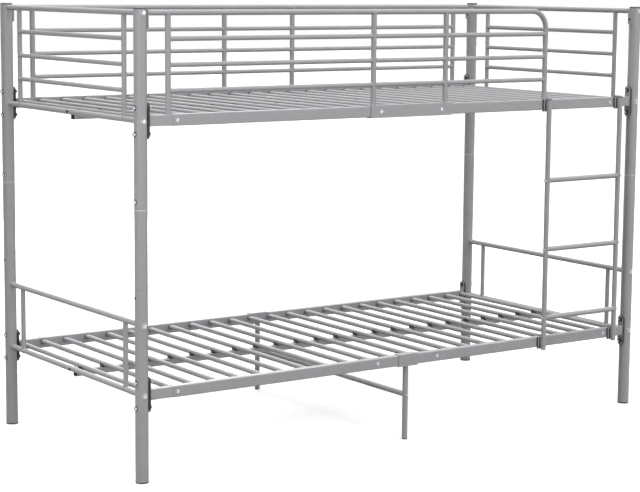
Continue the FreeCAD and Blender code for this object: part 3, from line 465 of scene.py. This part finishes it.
# Dark zinc: charcoal with a small glint
dark_zinc = steel("dark_zinc_plate", "#3c3d40", "#4a4b4e", 0.36, 2.0)
dress(dark_zinc, "bracket_nuts", "post_screws", "centre_support_screws")
lower_end_top = 0.495
plate_bolt_rise = 0.040
bolt_hole, bolt_rim, bolt_depth = 0.0062, 0.0088, 0.0013
cap_rise, cap_radius, cap_height = 0.025, 0.0066, 0.0046
cap_washer_hole, cap_washer_rim = 0.0058, 0.0084
rail_screw_x, joint_screw_x = 0.898, 0.126
rail_face, channel_face = 0.475, 0.4777
screw_hole, screw_rim, screw_depth = 0.0038, 0.0063, 0.0012
upper, lower = bunk_heights["upper"], bunk_heights["lower"]
dome = Matrix.Diagonal((cap_radius, cap_radius, cap_height, 1))
bolt_washers, bracket_washers = bmesh.new(), bmesh.new()
screw_washers, caps = bmesh.new(), bmesh.new()
for x_side, y_side in post_sides:
    outer_face = x_side * (post_x + post_radius)
    for z in (upper - plate_bolt_rise, upper + plate_bolt_rise,
              lower - plate_bolt_rise, lower + plate_bolt_rise):
        stand_on(bracket_washers, washer(bracket_washers, bolt_hole, bolt_rim, bolt_depth),
                 (outer_face, y_side * post_y, z), x_side * along_x, along_z, post_radius)
    cap_place = (outer_face, y_side * post_y, upper_seam + cap_rise)
    stand_on(bracket_washers, washer(bracket_washers, cap_washer_hole, cap_washer_rim, bolt_depth),
             cap_place, x_side * along_x, along_z, post_radius)
    cap = bmesh.ops.create_uvsphere(caps, u_segments=16, v_segments=10, radius=1.0,
                                    matrix=dome)["verts"]
    stand_on(caps, cap, cap_place, x_side * along_x, along_z, post_radius)
    for z in (guard_top, upper, lower_end_top, lower):
        stand_on(bolt_washers, washer(bolt_washers, bolt_hole, bolt_rim, bolt_depth),
                 (x_side * post_x, y_side * (post_y + post_radius), z),
                 y_side * along_y, along_z, post_radius)
    for x, face, z in ((rail_screw_x, rail_face, upper), (joint_screw_x, channel_face, upper),
                       (rail_screw_x, rail_face, lower), (joint_screw_x, rail_face, lower)):
        stand_on(screw_washers, washer(screw_washers, screw_hole, screw_rim, screw_depth),
                 (x_side * x, y_side * face, z), y_side * along_y, along_z)
set_in_place("frame_bolt_washers", bolt_washers, bright_zinc, "bed_frame")
set_in_place("bracket_bolt_washers", bracket_washers, dark_zinc, "bed_frame")
set_in_place("joint_screw_caps", caps, bright_zinc, "bed_frame")
set_in_place("rail_screw_washers", screw_washers, bright_zinc, "bed_frame")

# Studio. A white painted floor under a white surround. The camera sees both as white, while the
# light they throw back on the bed stays low, so that the undersides of the tubes stay dark.
# Four soft lamps stand round the bed, out of the camera's sight.
floor_half_size = 30.0
floor_mesh = bmesh.new()
bmesh.ops.create_grid(floor_mesh, x_segments=1, y_segments=1, size=floor_half_size)
floor_data = bpy.data.meshes.new("studio_floor")
floor_mesh.to_mesh(floor_data)
floor_mesh.free()
floor = bpy.data.objects.new("studio_floor", floor_data)
bpy.context.scene.collection.objects.link(floor)


def seen_directly(tree):
    """1 for rays from the camera, a reflection or glass, and 0 for light on its way."""
    path = add_node(tree, "ShaderNodeLightPath")
    mirrored = add_node(tree, "ShaderNodeMath", {"operation": "MAXIMUM"},
                        {0: path.outputs["Is Camera Ray"], 1: path.outputs["Is Glossy Ray"]})
    return add_node(tree, "ShaderNodeMath", {"operation": "MAXIMUM"},
                    {0: mirrored.outputs[0], 1: path.outputs["Is Transmission Ray"]}).outputs[0]


# Matt floor paint: white to look at, but grey for the light that it sends back up
floor_paint, tree, output = new_material("studio_floor_paint")
shown = add_node(tree, "ShaderNodeBsdfDiffuse", {"Color": linear("#fcfcfc")})
bounced = add_node(tree, "ShaderNodeBsdfDiffuse", {"Color": linear("#3c3c3c")})
mixed = add_node(tree, "ShaderNodeMixShader", None,
                 {0: seen_directly(tree), 1: bounced.outputs[0], 2: shown.outputs[0]})
tree.links.new(mixed.outputs[0], output.inputs["Surface"])
floor_data.materials.append(floor_paint)

# The surround is white to look at, and lights the bed mostly from straight above
world = bpy.data.worlds.new("studio_surround")
bpy.context.scene.world = world
world.use_nodes = True
tree = world.node_tree
tree.nodes.clear()
output = add_node(tree, "ShaderNodeOutputWorld")
height = add_node(tree, "ShaderNodeSeparateXYZ", None,
                  {0: add_node(tree, "ShaderNodeTexCoord").outputs["Generated"]})
overhead = add_node(tree, "ShaderNodeMath", {"operation": "POWER", "use_clamp": True, 1: 4.0},
                    {0: height.outputs["Z"]})
rise = add_node(tree, "ShaderNodeMapRange", {"To Min": 0.07, "To Max": 3.9},
                {"Value": overhead.outputs[0]})
ambient = add_node(tree, "ShaderNodeBackground", {"Color": linear("#ffffff")},
                   {"Strength": rise.outputs["Result"]})
white = add_node(tree, "ShaderNodeBackground", {"Color": linear("#ffffff"), "Strength": 1.0})
mixed = add_node(tree, "ShaderNodeMixShader", None,
                 {0: seen_directly(tree), 1: ambient.outputs[0], 2: white.outputs[0]})
tree.links.new(mixed.outputs[0], output.inputs["Surface"])


def softbox(name, place, aim, size, watts):
    """A square studio lamp at a place, facing a point."""
    data = bpy.data.lights.new(name, "AREA")
    data.size = size
    data.energy = watts
    lamp = bpy.data.objects.new(name, data)
    bpy.context.scene.collection.objects.link(lamp)
    lamp.visible_camera = False
    away = Vector(place) - Vector(aim)
    facing = away.to_track_quat("Z", "Y").to_matrix().to_4x4()
    lamp.matrix_world = Matrix.Translation(place) @ facing


softbox("overhead_softbox", (0.0, -0.4, 3.6), (0.0, -0.1, 0.7), 2.2, 16.0)
softbox("back_softbox", (1.8, 5.0, 2.0), (0.0, 0.0, 0.7), 2.6, 100.0)
softbox("right_softbox", (2.2, -4.6, 1.9), (0.0, 0.0, 0.7), 2.6, 78.0)
softbox("left_softbox", (-2.7, -1.7, 1.4), (-0.8, 0.0, 0.7), 1.2, 22.0)

# Camera. A long lens on a stand in front of the left end, a little above the upper bunk, tipped
# slightly down, with a small lens shift to frame the feet.
camera_place = Vector((-3.7552, -5.3509, 1.5438))
yaw, pitch, roll = (math.radians(angle) for angle in (34.801, 7.764, 0.486))
picture_width, focal_pixels, sensor_mm = 640, 1852.1, 36.0
camera_data = bpy.data.cameras.new("camera")
camera_data.sensor_fit = "HORIZONTAL"
camera_data.sensor_width = sensor_mm
camera_data.lens = sensor_mm * focal_pixels / picture_width
camera_data.shift_y = -0.02
camera_data.clip_end = 100.0
camera = bpy.data.objects.new("camera", camera_data)
bpy.context.scene.collection.objects.link(camera)
ahead = Vector((math.sin(yaw) * math.cos(pitch), math.cos(yaw) * math.cos(pitch),
                -math.sin(pitch)))
level_right = Vector((math.cos(yaw), -math.sin(yaw), 0.0))
level_up = level_right.cross(ahead)
right = level_right * math.cos(roll) + level_up * math.sin(roll)
up = level_up * math.cos(roll) - level_right * math.sin(roll)
turn = Matrix((right, up, -ahead)).transposed()
camera.matrix_world = Matrix.Translation(camera_place) @ turn.to_4x4()
bpy.context.scene.camera = camera
